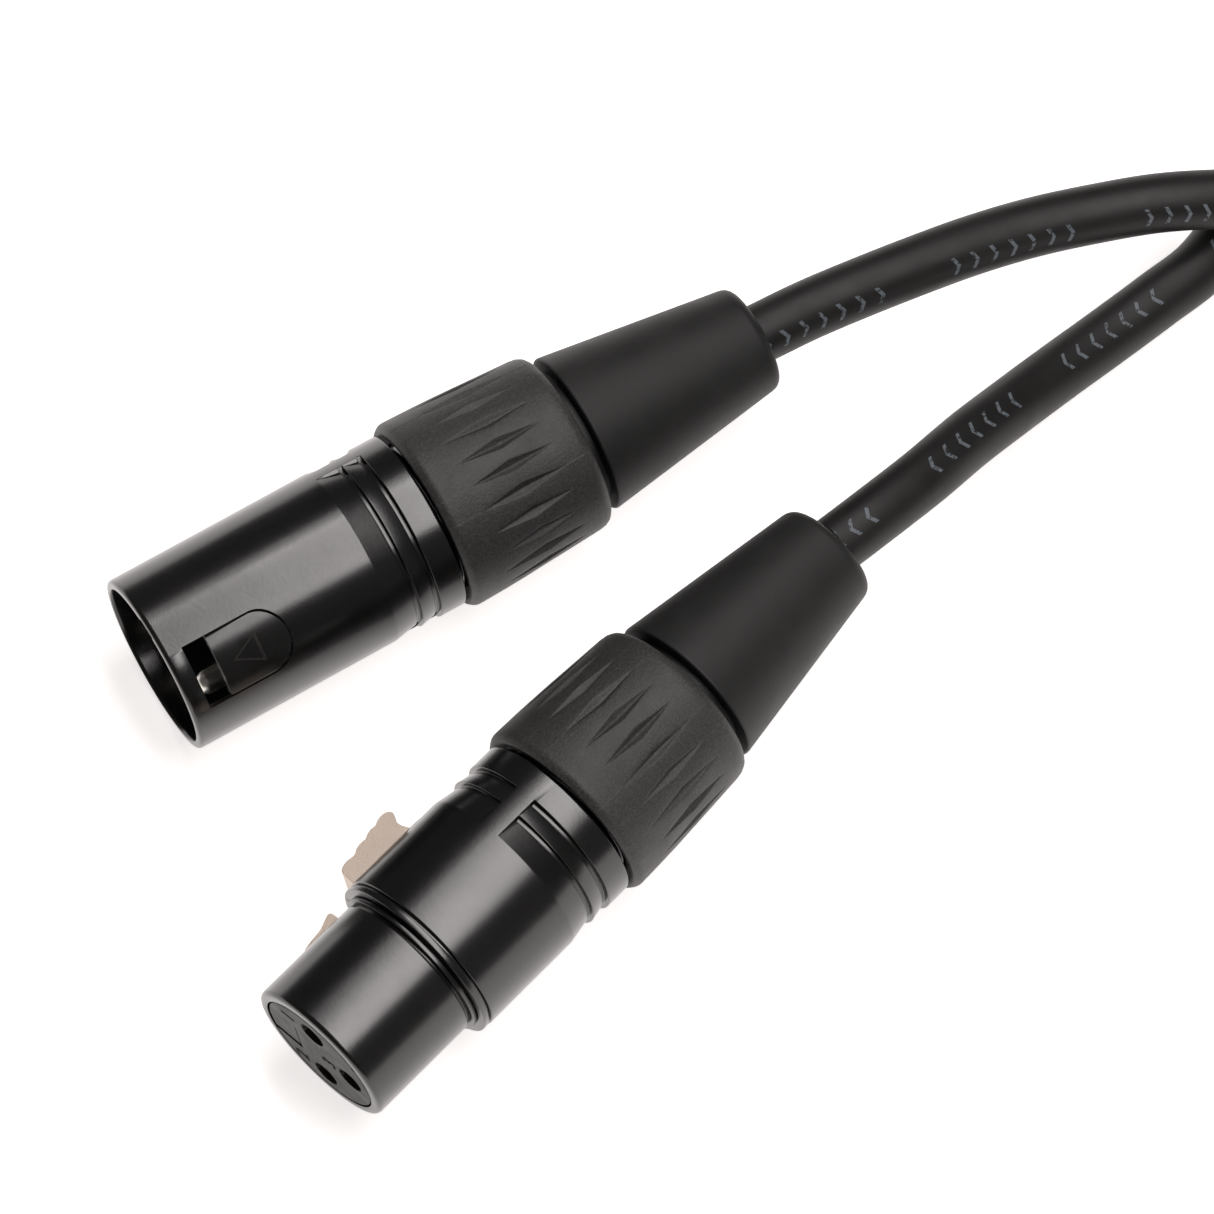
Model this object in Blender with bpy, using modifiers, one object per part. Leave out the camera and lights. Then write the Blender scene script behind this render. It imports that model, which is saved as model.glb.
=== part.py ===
"""XLR microphone cable: a male plug, a female plug and the cable between them.

The two plugs lie side by side on z = 0 and the middle of the cable is wound in a tied coil
beyond them.  Each plug is modelled on its own axis: local Z runs from its mouth (z = 0) towards
the cable, local +X points at its latch or latch window, and an empty lays it on the surface.
"""
import math

import bpy
import bmesh
from mathutils import Matrix, Vector

MM = 0.001
GAP = 0.3 * MM                      # clearance between neighbouring pieces

# ---------------------------------------------------------------- layout on the surface
MALE_MOUTH = (-30.03 * MM, 20.42 * MM)      # centre of the male mouth, seen from above
MALE_YAW = 0.0
MALE_ROLL = math.radians(44.0)              # latch window, from upright towards -Y
FEMALE_FACE = (-36.41 * MM, -22.97 * MM)    # centre of the female face, seen from above
FEMALE_YAW = math.radians(15.7)
FEMALE_ROLL = math.radians(-98.0)           # latch, from upright towards the far side

# ---------------------------------------------------------------- driving dimensions
NOSE_R = 8.0 * MM                   # standard female nose
BORE_R = 8.3 * MM                   # male mouth, one clearance wider than the nose
MALE_R = 9.3 * MM
FEMALE_R = 9.35 * MM
NOSE_LENGTH = 12.2 * MM
FEMALE_BORE_R = 6.9 * MM            # bore of the nose, and of both spigots
SPIGOT_R = 7.7 * MM
SPIGOT_LENGTH = 7.0 * MM
MALE_NUT_Z = 30.35 * MM             # front edge of the grip nut
FEMALE_NUT_Z = 33.45 * MM
CONTACT_CIRCLE_R = 4.2 * MM         # the three contacts, 90 degrees apart
PIN_R = 1.2 * MM
PIN_TIP_Z = 3.2 * MM
INSERT_Z = 14.0 * MM                # face of the male insert, inside the mouth
NUT_R = 10.1 * MM
BOOT_R = 8.4 * MM
CABLE_R = 3.0 * MM
CABLE_BORE_R = CABLE_R + GAP

# lengths measured from the front edge of the grip nut
NUT_LENGTH = 16.45 * MM
BOOT_START = 17.45 * MM
BOOT_END = 38.05 * MM
JACKET_START = 5.4 * MM             # where the jacket is stripped back to
CHUCK_START = 1.15 * MM
CHUCK_END = 12.65 * MM

# latch window and its plate, in the male shell
WINDOW_Z0 = 1.9 * MM
WINDOW_LENGTH = 2.5 * MM
SLOT_LENGTH = 10.2 * MM
SLOT_HALF_WIDTH = 3.5 * MM

# latch lever, in the female plug: heights are radii on the plug's axis
LEVER_PIVOT = (7.3 * MM, 21.9 * MM)         # radius, distance from the face
LEVER_HALF_WIDTH = 3.3 * MM
LEVER_ARM_HALF_WIDTH = 2.0 * MM
KEY_HALF_WIDTH = 2.15 * MM
KEY_FLOOR = 2.7 * MM
KEY_LENGTH = 6.0 * MM

# grip recesses
RECESS_COUNT = 24
RECESS_HALF_LENGTH = 4.9 * MM
RECESS_HALF_WIDTH = 0.65 * MM
RECESS_DEPTH = 0.55 * MM
RECESS_Z = 8.5 * MM                 # centre, from the nut's front edge

# coil
COIL_CENTRE = (145.5 * MM, 9.5 * MM)
COIL_R = 31.0 * MM                  # mean radius
TURN_PITCH = 6.0 * MM
COIL_COLUMNS = 3
COIL_LAYERS = 4
LAYER_PITCH = 6.2 * MM
TIE_ANGLE = math.radians(20.0)
TIE_WIDTH = 14.0 * MM
TIE_THICKNESS = 1.2 * MM

# cable routes between the plugs and the coil: points along the centre line, in millimetres
ROUTE_TO_MALE = [(38.65, 20.42, 11.18), (44.5, 20.1, 11.37), (50.5, 19.5, 11.4), (56.5, 18.9, 11.1),
                 (62.4, 18.15, 10.8), (68.6, 17.0, 10.4), (74.7, 15.3, 10.1), (81.0, 13.1, 9.95),
                 (86.6, 10.2, 10.1), (92.3, 6.0, 11.2), (98.0, 0.9, 13.3), (103.55, -4.15, 15.7)]
ROUTE_TO_FEMALE = [(32.75, -3.53, 11.68), (38.5, -2.5, 11.35), (44.85, -1.05, 10.3), (51.4, 1.05, 8.2),
                   (57.5, 2.8, 6.0), (64.0, 4.4, 4.2), (70.6, 5.6, 3.3), (77.3, 6.6, 3.2),
                   (84.0, 7.8, 3.15), (90.4, 11.2, 3.15), (96.9, 16.6, 3.15), (103.3, 22.4, 3.15)]
TUBE_STEP = 2.3 * 2 * CABLE_R

BLACK_METAL = ((0.016, 0.016, 0.017), 0.22, 0.6)
BLACK_PLASTIC = ((0.03, 0.029, 0.028), 0.45, 0.0)
GRIP_PLASTIC = ((0.032, 0.031, 0.031), 0.6, 0.0)
RUBBER = ((0.028, 0.028, 0.028), 0.55, 0.0)
CABLE_PVC = ((0.02, 0.019, 0.019), 0.45, 0.0)
NICKEL = ((0.62, 0.55, 0.48), 0.35, 1.0)
SILVER = ((0.8, 0.78, 0.74), 0.2, 1.0)
STEEL = ((0.55, 0.55, 0.56), 0.3, 1.0)
WIRE_COLOURS = {1: (0.5, 0.5, 0.52), 2: (0.5, 0.03, 0.02), 3: (0.03, 0.05, 0.35)}
TIE_FABRIC = ((0.02, 0.02, 0.022), 0.9, 0.0)

parts = None
cutters = None


# ---------------------------------------------------------------- helpers
def clear_scene():
    for obj in list(bpy.data.objects):
        bpy.data.objects.remove(obj, do_unlink=True)


def add_collections():
    global parts, cutters
    parts = bpy.data.collections.new("xlr_cable_coil")
    cutters = bpy.data.collections.new("cutters")
    bpy.context.scene.collection.children.link(parts)
    bpy.context.scene.collection.children.link(cutters)


def paint(obj, finish):
    colour, roughness, metallic = finish
    material = bpy.data.materials.new(obj.name)
    material.use_nodes = True
    shader = material.node_tree.nodes["Principled BSDF"]
    shader.inputs["Base Color"].default_value = (*colour, 1.0)
    shader.inputs["Roughness"].default_value = roughness
    shader.inputs["Metallic"].default_value = metallic
    obj.data.materials.append(material)


def place(obj, axis, finish=None):
    """Puts an object on a plug's axis: a part if it has a finish, otherwise a cutter."""
    if finish:
        parts.objects.link(obj)
        paint(obj, finish)
        if obj.type == "MESH":
            obj.data.shade_smooth()
            obj.data.set_sharp_from_angle(angle=math.radians(35))
    else:
        cutters.objects.link(obj)
        obj.hide_render = True
        obj.display_type = "WIRE"
    obj.parent = axis
    return obj


def turned(name, profile, steps, axis, finish=None):
    """A turned shape; its profile of (radius, z) runs up the outer side and down the inner one."""
    bm = bmesh.new()
    verts = [bm.verts.new((r, 0, z)) for r, z in reversed(profile)]
    for a, b in zip(verts, verts[1:]):
        bm.edges.new((a, b))
    if min(r for r, z in profile) > 0:
        bm.edges.new((verts[-1], verts[0]))
    mesh = bpy.data.meshes.new(name)
    bm.to_mesh(mesh)
    bm.free()
    obj = place(bpy.data.objects.new(name, mesh), axis, finish)
    screw = obj.modifiers.new("turn", "SCREW")
    screw.angle = math.tau
    screw.steps = steps
    screw.render_steps = steps
    screw.use_merge_vertices = True
    screw.merge_threshold = 0.000001
    screw.use_smooth_shade = True
    return obj


def arc(r, z, radius, start, end, count=3):
    """Points of an arc about (r, z); 0 degrees points outward and 90 towards the cable."""
    angles = [math.radians(start + (end - start) * i / count) for i in range(count + 1)]
    return [(r + radius * math.cos(a), z + radius * math.sin(a)) for a in angles]


def from_bmesh(name, bm, axis, finish=None):
    mesh = bpy.data.meshes.new(name)
    bm.to_mesh(mesh)
    bm.free()
    return place(bpy.data.objects.new(name, mesh), axis, finish)


def box(name, low, high, axis, finish=None):
    low, high = Vector(low), Vector(high)
    size = high - low
    matrix = Matrix.Translation((low + high) / 2) @ Matrix.Diagonal((*size, 1.0))
    bm = bmesh.new()
    bmesh.ops.create_cube(bm, size=1.0, matrix=matrix)
    return from_bmesh(name, bm, axis, finish)


def cylinder(name, start, direction, length, radius, segments, axis, finish=None):
    direction = Vector(direction)
    turn = direction.to_track_quat("Z", "Y").to_matrix().to_4x4()
    matrix = Matrix.Translation(Vector(start) + direction * length / 2) @ turn
    bm = bmesh.new()
    bmesh.ops.create_cone(bm, cap_ends=True, segments=segments, radius1=radius, radius2=radius,
                          depth=length, matrix=matrix)
    return from_bmesh(name, bm, axis, finish)


def plate(name, outline, half_thickness, matrix, axis, finish=None):
    """A flat outline of (x, y) points, extruded both ways and moved by a matrix."""
    curve = bpy.data.curves.new(name, "CURVE")
    curve.dimensions = "2D"
    curve.fill_mode = "BOTH"
    curve.extrude = half_thickness
    spline = curve.splines.new("POLY")
    spline.points.add(len(outline) - 1)
    for point, (x, y) in zip(spline.points, outline):
        point.co = (x, y, 0, 1)
    spline.use_cyclic_u = True
    guide = bpy.data.objects.new(name, curve)
    bpy.context.scene.collection.objects.link(guide)
    graph = bpy.context.evaluated_depsgraph_get()
    mesh = bpy.data.meshes.new_from_object(guide.evaluated_get(graph))
    bpy.data.objects.remove(guide)
    bm = bmesh.new()
    bm.from_mesh(mesh)
    bmesh.ops.remove_doubles(bm, verts=bm.verts, dist=0.000001)
    bmesh.ops.transform(bm, matrix=matrix, verts=bm.verts)
    if matrix.determinant() < 0:
        bmesh.ops.reverse_faces(bm, faces=bm.faces)
    bm.to_mesh(mesh)
    bm.free()
    return place(bpy.data.objects.new(name, mesh), axis, finish)


def boolean(obj, cutter, operation="DIFFERENCE"):
    modifier = obj.modifiers.new(cutter.name, "BOOLEAN")
    modifier.operation = operation
    modifier.object = cutter


def tube(name, points, radius, resolution, finish, axis=None):
    curve = bpy.data.curves.new(name, "CURVE")
    curve.dimensions = "3D"
    curve.bevel_depth = radius
    curve.bevel_resolution = resolution
    curve.use_fill_caps = True
    spline = curve.splines.new("POLY")
    spline.points.add(len(points) - 1)
    for point, co in zip(spline.points, points):
        point.co = (*co, 1)
    obj = bpy.data.objects.new(name, curve)
    return place(obj, axis, finish)


def smooth_route(points, step):
    """Evenly spaced points on a Catmull-Rom curve through a route's points."""
    ends = [2 * points[0] - points[1], *points, 2 * points[-1] - points[-2]]
    fine = []
    for a, b, c, d in zip(ends, ends[1:], ends[2:], ends[3:]):
        for i in range(20):
            t = i / 20
            fine.append(0.5 * (2 * b + (c - a) * t + (2 * a - 5 * b + 4 * c - d) * t ** 2
                               + (3 * b - a - 3 * c + d) * t ** 3))
    fine.append(points[-1])
    total = sum((b - a).length for a, b in zip(fine, fine[1:]))
    count = round(total / step)
    result, walked, target = [fine[0]], 0.0, total / count
    for a, b in zip(fine, fine[1:]):
        walked += (b - a).length
        if walked >= target * len(result) and len(result) < count:
            result.append(b)
    return [*result, fine[-1]]


def axis_empty(name, centre, yaw, roll, front_radius, front_z, nut_z):
    """An empty on a plug's axis.  The plug rests on its front edge and on its grip nut."""
    tilt = math.atan2(NUT_R - front_radius, nut_z - front_z)
    along = Vector((math.cos(yaw) * math.cos(tilt), math.sin(yaw) * math.cos(tilt), math.sin(tilt)))
    left = Vector((-math.sin(yaw), math.cos(yaw), 0))
    up = along.cross(left)
    latch = math.cos(roll) * up - math.sin(roll) * left
    side = along.cross(latch)
    rotation = Matrix((latch, side, along)).transposed().to_4x4()
    height = front_radius / math.cos(tilt) - front_z * math.sin(tilt) + GAP / 6
    empty = bpy.data.objects.new(name, None)
    parts.objects.link(empty)
    empty.matrix_world = Matrix.Translation((*centre, height)) @ rotation
    return empty


def contact_places():
    """Contact number and place across the axis: 1 and 2 opposite each other, 3 away from the latch."""
    return {1: (0, 1), 2: (0, -1), 3: (-1, 0)}


# ---------------------------------------------------------------- pieces that both plugs have
def cut_rear_steps(name, shell, radius, nut_z, axis):
    """Two shallow ramps end in grooves round the shell's rear, but for a bar on each side."""
    ramp = 8.2 * MM
    first, second = 5.75 * MM, 3.65 * MM
    groove = 0.35 * MM
    deep, shallow = radius - 0.55 * MM, radius - 0.3 * MM
    outer = radius + 1.2 * MM
    profile = [(outer, nut_z - ramp), (outer, nut_z - second + groove),
               (deep, nut_z - second + groove), (deep, nut_z - second),
               (shallow, nut_z - second), (radius - 0.05 * MM, nut_z - first + groove),
               (deep, nut_z - first + groove), (deep, nut_z - first),
               (shallow, nut_z - first), (radius + 0.03 * MM, nut_z - ramp)]
    ring = turned(name + "_rear_steps", profile, 32, axis)
    half = 1.2 * MM
    for side in (-1, 1):
        y = sorted((side * (radius - 2 * MM), side * (outer + MM)))
        bar = box(f"{name}_bar_{side + 1}", (-half, y[0], nut_z - ramp - MM),
                  (half, y[1], nut_z - second + MM), axis)
        boolean(ring, bar)
    boolean(shell, ring)


def add_chuck(name, nut_z, axis):
    start, end = nut_z + CHUCK_START, nut_z + CHUCK_END
    shoulder = nut_z + SPIGOT_LENGTH
    base_r = FEMALE_BORE_R - GAP
    profile = [(base_r, start), (base_r, shoulder), (7.25 * MM, shoulder + GAP),
               (7.25 * MM, shoulder + 1.2 * MM), (5.7 * MM, end), (CABLE_BORE_R, end),
               (CABLE_BORE_R, start + 4.3 * MM), (5.6 * MM, start)]
    chuck = turned(name + "_chuck", profile, 24, axis, BLACK_PLASTIC)
    reach = 9 * MM
    slit = 0.5 * MM
    for i, (x, y) in enumerate(((reach, slit), (slit, reach))):
        cutter = box(f"{name}_chuck_slit_{i}", (-x, -y, shoulder + 1.5 * MM), (x, y, end + MM), axis)
        boolean(chuck, cutter)


def add_grip_nut(name, nut_z, axis):
    rear = nut_z + NUT_LENGTH
    corner = 1.3 * MM
    rear_r = 9.35 * MM
    bore_r = SPIGOT_R + GAP
    profile = [(9.6 * MM, nut_z), (NUT_R, nut_z + 0.6 * MM), (9.98 * MM, nut_z + 5.5 * MM),
               *arc(rear_r - corner, rear - corner, corner, 0, 90),
               (7.15 * MM, rear), (7.15 * MM, nut_z + 13.2 * MM), (6.2 * MM, nut_z + 13.0 * MM),
               (7.7 * MM, nut_z + SPIGOT_LENGTH + 1.3 * MM), (bore_r, nut_z + SPIGOT_LENGTH),
               (bore_r, nut_z + 0.6 * MM), (9.2 * MM, nut_z)]
    nut = turned(name + "_grip_nut", profile, RECESS_COUNT, axis, GRIP_PLASTIC)
    bm = bmesh.new()
    slope = math.atan2(9.98 * MM - rear_r, NUT_LENGTH - corner - 5.5 * MM)
    facet_r = 9.83 * MM * math.cos(math.pi / RECESS_COUNT)
    size = Matrix.Diagonal((RECESS_DEPTH, RECESS_HALF_WIDTH, RECESS_HALF_LENGTH, 1))
    for i in range(RECESS_COUNT):
        turn = Matrix.Rotation((i + 0.5) * math.tau / RECESS_COUNT, 4, "Z")
        tilt = Matrix.Rotation(-slope, 4, "Y")
        matrix = turn @ Matrix.Translation((facet_r, 0, nut_z + RECESS_Z)) @ tilt @ size
        bmesh.ops.create_uvsphere(bm, u_segments=4, v_segments=2, radius=1.0, matrix=matrix)
    boolean(nut, from_bmesh(name + "_grip_recesses", bm, axis))


def add_boot(name, nut_z, axis):
    start, end = nut_z + BOOT_START, nut_z + BOOT_END
    neck_r = 6.8 * MM
    tip_r = 5.55 * MM
    corner = 1.3 * MM
    profile = [(neck_r, nut_z + 13.5 * MM), (neck_r, start), (BOOT_R - GAP, start),
               (BOOT_R, start + GAP), *arc(tip_r - corner, end - corner, corner, 0, 90),
               (CABLE_BORE_R, end), (CABLE_BORE_R, nut_z + 13.5 * MM)]
    turned(name + "_boot", profile, 24, axis, RUBBER)


def add_conductors(name, nut_z, cup_z, axis):
    """The stripped jacket's end and the three conductors that fan out to the solder cups."""
    jacket_z = nut_z + JACKET_START
    cylinder(name + "_cable_end", (0, 0, jacket_z), (0, 0, 1), nut_z + BOOT_END - GAP - jacket_z,
             CABLE_R, 16, axis, CABLE_PVC)
    wire_r = 0.55 * MM
    inner_r = 1.4 * MM
    for number, (x, y) in contact_places().items():
        outer = Vector((x * CONTACT_CIRCLE_R, y * CONTACT_CIRCLE_R, cup_z + GAP))
        inner = Vector((x * inner_r, y * inner_r, jacket_z - GAP))
        bend = Vector((0, 0, (inner.z - outer.z) / 4))
        points = [outer, outer + bend, inner - bend, inner]
        finish = (WIRE_COLOURS[number], 0.5, 0.0)
        tube(f"{name}_wire_{number}", points, wire_r, 2, finish, axis)


def cup_points(rear, radius):
    """The end of a contact's profile: an open solder cup."""
    cup_r, cup_depth = 0.8 * MM, 2.4 * MM
    return [(radius, rear), (cup_r, rear), (cup_r, rear - cup_depth), (0, rear - cup_depth)]


def drill(obj, name, contact_profile, axis):
    """Cuts one turned hole for each contact."""
    for number, (x, y) in contact_places().items():
        hole = turned(f"{name}_{number}", contact_profile, 12, axis)
        hole.location = (x * CONTACT_CIRCLE_R, y * CONTACT_CIRCLE_R, 0)
        boolean(obj, hole)


# ---------------------------------------------------------------- male plug
def slot_outline(half_width, front, rear):
    """A U on its side in (z, y): a square front and a round rear end."""
    nose = 2.9 * MM
    count = 8
    angles = [math.pi / 2 - math.pi * i / count for i in range(count + 1)]
    round_end = [(rear - nose + nose * math.cos(a), half_width * math.sin(a)) for a in angles]
    return [(front, half_width), *round_end, (front, -half_width)]


def across_slot():
    """Maps an outline in (z, y) to a plate that faces the latch window."""
    return Matrix(((0, 0, 1, 8.5 * MM), (0, 1, 0, 0), (1, 0, 0, 0), (0, 0, 0, 1)))


def add_male_shell(axis):
    rim = 0.45 * MM
    rear = MALE_NUT_Z - 0.4 * MM
    spigot_end = MALE_NUT_Z + SPIGOT_LENGTH - GAP
    shelf_z = INSERT_Z + 10.9 * MM
    profile = [*arc(MALE_R - rim, rim, rim, -90, 0), (MALE_R, rear - GAP), (MALE_R - GAP, rear),
               (SPIGOT_R, rear), (SPIGOT_R, spigot_end), (FEMALE_BORE_R, spigot_end),
               (FEMALE_BORE_R, shelf_z), (BORE_R, shelf_z), (BORE_R, rim / 2),
               (BORE_R + rim / 2, 0)]
    shell = turned("male_shell", profile, 32, axis, BLACK_METAL)
    cut_rear_steps("male", shell, MALE_R, MALE_NUT_Z, axis)
    outline = slot_outline(SLOT_HALF_WIDTH, WINDOW_Z0, WINDOW_Z0 + SLOT_LENGTH)
    boolean(shell, plate("male_window_slot", outline, 2.5 * MM, across_slot(), axis))
    keyway = box("male_keyway", (7.5 * MM, -1.2 * MM, -MM), (BORE_R + 0.45 * MM, 1.2 * MM, 11 * MM),
                 axis)
    keyway.rotation_euler = (0, 0, math.radians(-44))
    boolean(shell, keyway)


def add_male_lock_plate(axis):
    front = WINDOW_Z0 + WINDOW_LENGTH
    rear = WINDOW_Z0 + SLOT_LENGTH - GAP
    inner, outer = BORE_R + 0.1 * MM, MALE_R - 0.02 * MM
    ring = [(outer, front - MM), (outer, rear + MM), (inner, rear + MM), (inner, front - MM)]
    lock = turned("male_lock_plate", ring, 48, axis, BLACK_PLASTIC)
    outline = slot_outline(SLOT_HALF_WIDTH - GAP, front, rear)
    boolean(lock, plate("male_lock_outline", outline, 2.4 * MM, across_slot(), axis), "INTERSECT")


def add_male_insert(axis):
    rear = INSERT_Z + 10.6 * MM
    insert_r = BORE_R - GAP
    edge = 0.3 * MM
    profile = [(0, INSERT_Z), (insert_r - edge, INSERT_Z), (insert_r, INSERT_Z + edge),
               (insert_r, rear), (6.4 * MM, rear), (6.4 * MM, rear - 3 * MM), (0, rear - 3 * MM)]
    insert = turned("male_insert", profile, 32, axis, BLACK_PLASTIC)
    hole_r = PIN_R + GAP
    hole = [(0, INSERT_Z - MM), (hole_r, INSERT_Z - MM), (hole_r, rear + MM), (0, rear + MM)]
    drill(insert, "male_pin_hole", hole, axis)


def add_male_pins(axis):
    rear = MALE_NUT_Z - 1.2 * MM
    profile = [(0, PIN_TIP_Z), (0.75 * MM, PIN_TIP_Z), (PIN_R, PIN_TIP_Z + 0.55 * MM),
               *cup_points(rear, PIN_R)]
    for number, (x, y) in contact_places().items():
        # the male face mirrors the female one, so its 1 and 2 change sides
        pin = turned(f"male_pin_{number}", profile, 12, axis, SILVER)
        pin.location = (x * CONTACT_CIRCLE_R, -y * CONTACT_CIRCLE_R, 0)
    return rear


def add_male_plug():
    axis = axis_empty("male_axis", MALE_MOUTH, MALE_YAW, MALE_ROLL, MALE_R, 0.45 * MM, MALE_NUT_Z)
    add_male_shell(axis)
    add_male_lock_plate(axis)
    add_male_insert(axis)
    cup_z = add_male_pins(axis)
    add_chuck("male", MALE_NUT_Z, axis)
    add_grip_nut("male", MALE_NUT_Z, axis)
    add_boot("male", MALE_NUT_Z, axis)
    add_conductors("male", MALE_NUT_Z, cup_z, axis)


# ---------------------------------------------------------------- female plug
def add_female_shell(axis):
    rim = 0.5 * MM
    ring_1, ring_2, body = 12.55 * MM, 13.0 * MM, 14.0 * MM
    rear = FEMALE_NUT_Z - 0.4 * MM
    spigot_end = FEMALE_NUT_Z + SPIGOT_LENGTH - GAP
    profile = [*arc(NOSE_R - rim, rim, rim, -90, 0), (NOSE_R, NOSE_LENGTH),
               (7.75 * MM, NOSE_LENGTH), (7.75 * MM, ring_1 - 0.05 * MM),
               *arc(8.15 * MM, ring_1 + 0.2 * MM, 0.2 * MM, -90, 45, 2),
               (8.1 * MM, ring_2 - 0.05 * MM), *arc(9.0 * MM, ring_2 + 0.3 * MM, 0.3 * MM, -90, 0, 2),
               (9.3 * MM, 13.7 * MM), (8.95 * MM, 13.75 * MM), (8.95 * MM, body - 0.05 * MM),
               (FEMALE_R, body), (FEMALE_R, rear - GAP), (FEMALE_R - GAP, rear),
               (SPIGOT_R, rear), (SPIGOT_R, spigot_end), (FEMALE_BORE_R, spigot_end),
               (FEMALE_BORE_R, 0)]
    shell = turned("female_shell", profile, 32, axis, BLACK_METAL)
    cut_rear_steps("female", shell, FEMALE_R, FEMALE_NUT_Z, axis)
    arm = LEVER_ARM_HALF_WIDTH + GAP
    thumb = LEVER_HALF_WIDTH + GAP
    pivot_z = LEVER_PIVOT[1]
    boolean(shell, box("nose_latch_slot", (5 * MM, -arm, 6.2 * MM),
                       (12 * MM, arm, NOSE_LENGTH - GAP), axis))
    boolean(shell, box("flange_channel", (5 * MM, -arm, 6.4 * MM),
                       (8.45 * MM, arm, 15 * MM), axis))
    boolean(shell, box("thumb_slot", (5 * MM, -thumb, body - 0.2 * MM),
                       (12 * MM, thumb, 23 * MM), axis))
    boolean(shell, box("trunnion_seats", (5.1 * MM, -4.9 * MM, pivot_z - 0.95 * MM),
                       (8.3 * MM, 4.9 * MM, pivot_z + 0.95 * MM), axis))


def add_female_insert(axis):
    rear = FEMALE_NUT_Z - 6 * MM
    insert_r = FEMALE_BORE_R - GAP
    profile = [(0, 0), (insert_r, 0), (insert_r, rear), (0, rear)]
    insert = turned("female_insert", profile, 32, axis, BLACK_PLASTIC)
    face_hole, seat = 1.45 * MM, 1.8 * MM
    hole = [(0, -MM), (face_hole, -MM), (face_hole, 1.5 * MM), (seat, 1.5 * MM),
            (seat, rear + MM), (0, rear + MM)]
    drill(insert, "contact_hole", hole, axis)
    reach = 9 * MM
    arm = LEVER_ARM_HALF_WIDTH + 2 * GAP
    boolean(insert, box("key_slot", (KEY_FLOOR, -KEY_HALF_WIDTH, -MM),
                        (reach, KEY_HALF_WIDTH, KEY_LENGTH), axis))
    boolean(insert, box("arm_slot", (4.3 * MM, -arm, KEY_LENGTH - GAP), (reach, arm, 14.6 * MM),
                        axis))
    boolean(insert, box("lever_recess", (4.9 * MM, -reach, 13.7 * MM), (reach, reach, 24.4 * MM),
                        axis))
    boolean(insert, cylinder("spring_pocket", (3.4 * MM, 0, 17.5 * MM), (1, 0, 0), 5 * MM,
                             1.7 * MM, 16, axis))


def add_female_key_block(axis):
    half = KEY_HALF_WIDTH - GAP
    block = box("female_key_block", (KEY_FLOOR + GAP, -half, 0.02 * MM),
                (7.2 * MM, half, KEY_LENGTH - 2 * GAP), axis, BLACK_PLASTIC)
    outer = FEMALE_BORE_R - GAP
    ring = [(0, -MM), (outer, -MM), (outer, 8 * MM), (0, 8 * MM)]
    boolean(block, turned("key_outline", ring, 32, axis), "INTERSECT")


def add_female_contacts(axis):
    rear = FEMALE_NUT_Z - 1.2 * MM
    socket_r, socket_end = 1.5 * MM, 14 * MM
    profile = [(0, socket_end), (PIN_R, socket_end), (PIN_R, 1.8 * MM), (socket_r, 1.8 * MM),
               *cup_points(rear, socket_r)]
    for number, (x, y) in contact_places().items():
        contact = turned(f"female_contact_{number}", profile, 12, axis, SILVER)
        contact.location = (x * CONTACT_CIRCLE_R, y * CONTACT_CIRCLE_R, 0)
    return rear


def lever_matrix():
    """Maps an outline in (z, radius), measured from the pivot, to a plate along the axis."""
    return Matrix(((0, 1, 0, 0), (0, 0, 1, 0), (1, 0, 0, 0), (0, 0, 0, 1)))


def from_pivot(points):
    radius, z = LEVER_PIVOT
    return [(pz * MM - z, pr * MM - radius) for pz, pr in points]


def add_latch_lever(axis):
    pivot = bpy.data.objects.new("latch_axis", None)
    parts.objects.link(pivot)
    pivot.parent = axis
    pivot.location = (LEVER_PIVOT[0], 0, LEVER_PIVOT[1])
    thumb = from_pivot([(14.3, 6.7), (14.35, 10.3), (14.9, 10.9), (16.0, 11.0), (16.5, 10.9),
                        (17.3, 11.3), (18.2, 11.35), (18.6, 11.3), (19.2, 11.6), (19.9, 11.6),
                        (20.2, 11.55), (20.8, 11.85), (21.6, 11.85), (22.15, 11.4), (22.1, 11.0),
                        (21.7, 10.3), (21.8, 9.6), (22.3, 8.3), (22.3, 6.7)])
    arm = from_pivot([(6.5, 6.6), (6.5, 8.0), (7.2, 8.15), (9.0, 8.35), (10.4, 8.95), (10.8, 8.95),
                      (11.0, 8.7), (11.0, 7.9), (16.5, 7.9), (16.5, 6.6)])
    lever = plate("latch_lever", thumb, LEVER_HALF_WIDTH, lever_matrix(), pivot, NICKEL)
    boolean(lever, plate("lever_arm", arm, LEVER_ARM_HALF_WIDTH, lever_matrix(), pivot), "UNION")
    half = 4.6 * MM
    trunnions = cylinder("lever_trunnions", (0, -half, 0), (0, 1, 0), 2 * half, 0.6 * MM, 12, pivot)
    boolean(lever, trunnions, "UNION")


def add_latch_spring(axis):
    """A compression spring that stands between the insert and the lever."""
    turns, per_turn, coil_r, wire_r = 3.5, 8, 1.15 * MM, 0.2 * MM
    low, high = 3.95 * MM, 6.15 * MM
    count = round(turns * per_turn)
    points = []
    for i in range(count + 1):
        angle = math.tau * i / per_turn
        points.append((low + (high - low) * i / count, coil_r * math.cos(angle),
                       17.5 * MM + coil_r * math.sin(angle)))
    tube("latch_spring", points, wire_r, 2, STEEL, axis)


def add_female_plug():
    axis = axis_empty("female_axis", FEMALE_FACE, FEMALE_YAW, FEMALE_ROLL, FEMALE_R, 14.5 * MM,
                      FEMALE_NUT_Z)
    add_female_shell(axis)
    add_female_insert(axis)
    add_female_key_block(axis)
    cup_z = add_female_contacts(axis)
    add_latch_lever(axis)
    add_latch_spring(axis)
    add_chuck("female", FEMALE_NUT_Z, axis)
    add_grip_nut("female", FEMALE_NUT_Z, axis)
    add_boot("female", FEMALE_NUT_Z, axis)
    add_conductors("female", FEMALE_NUT_Z, cup_z, axis)


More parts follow.
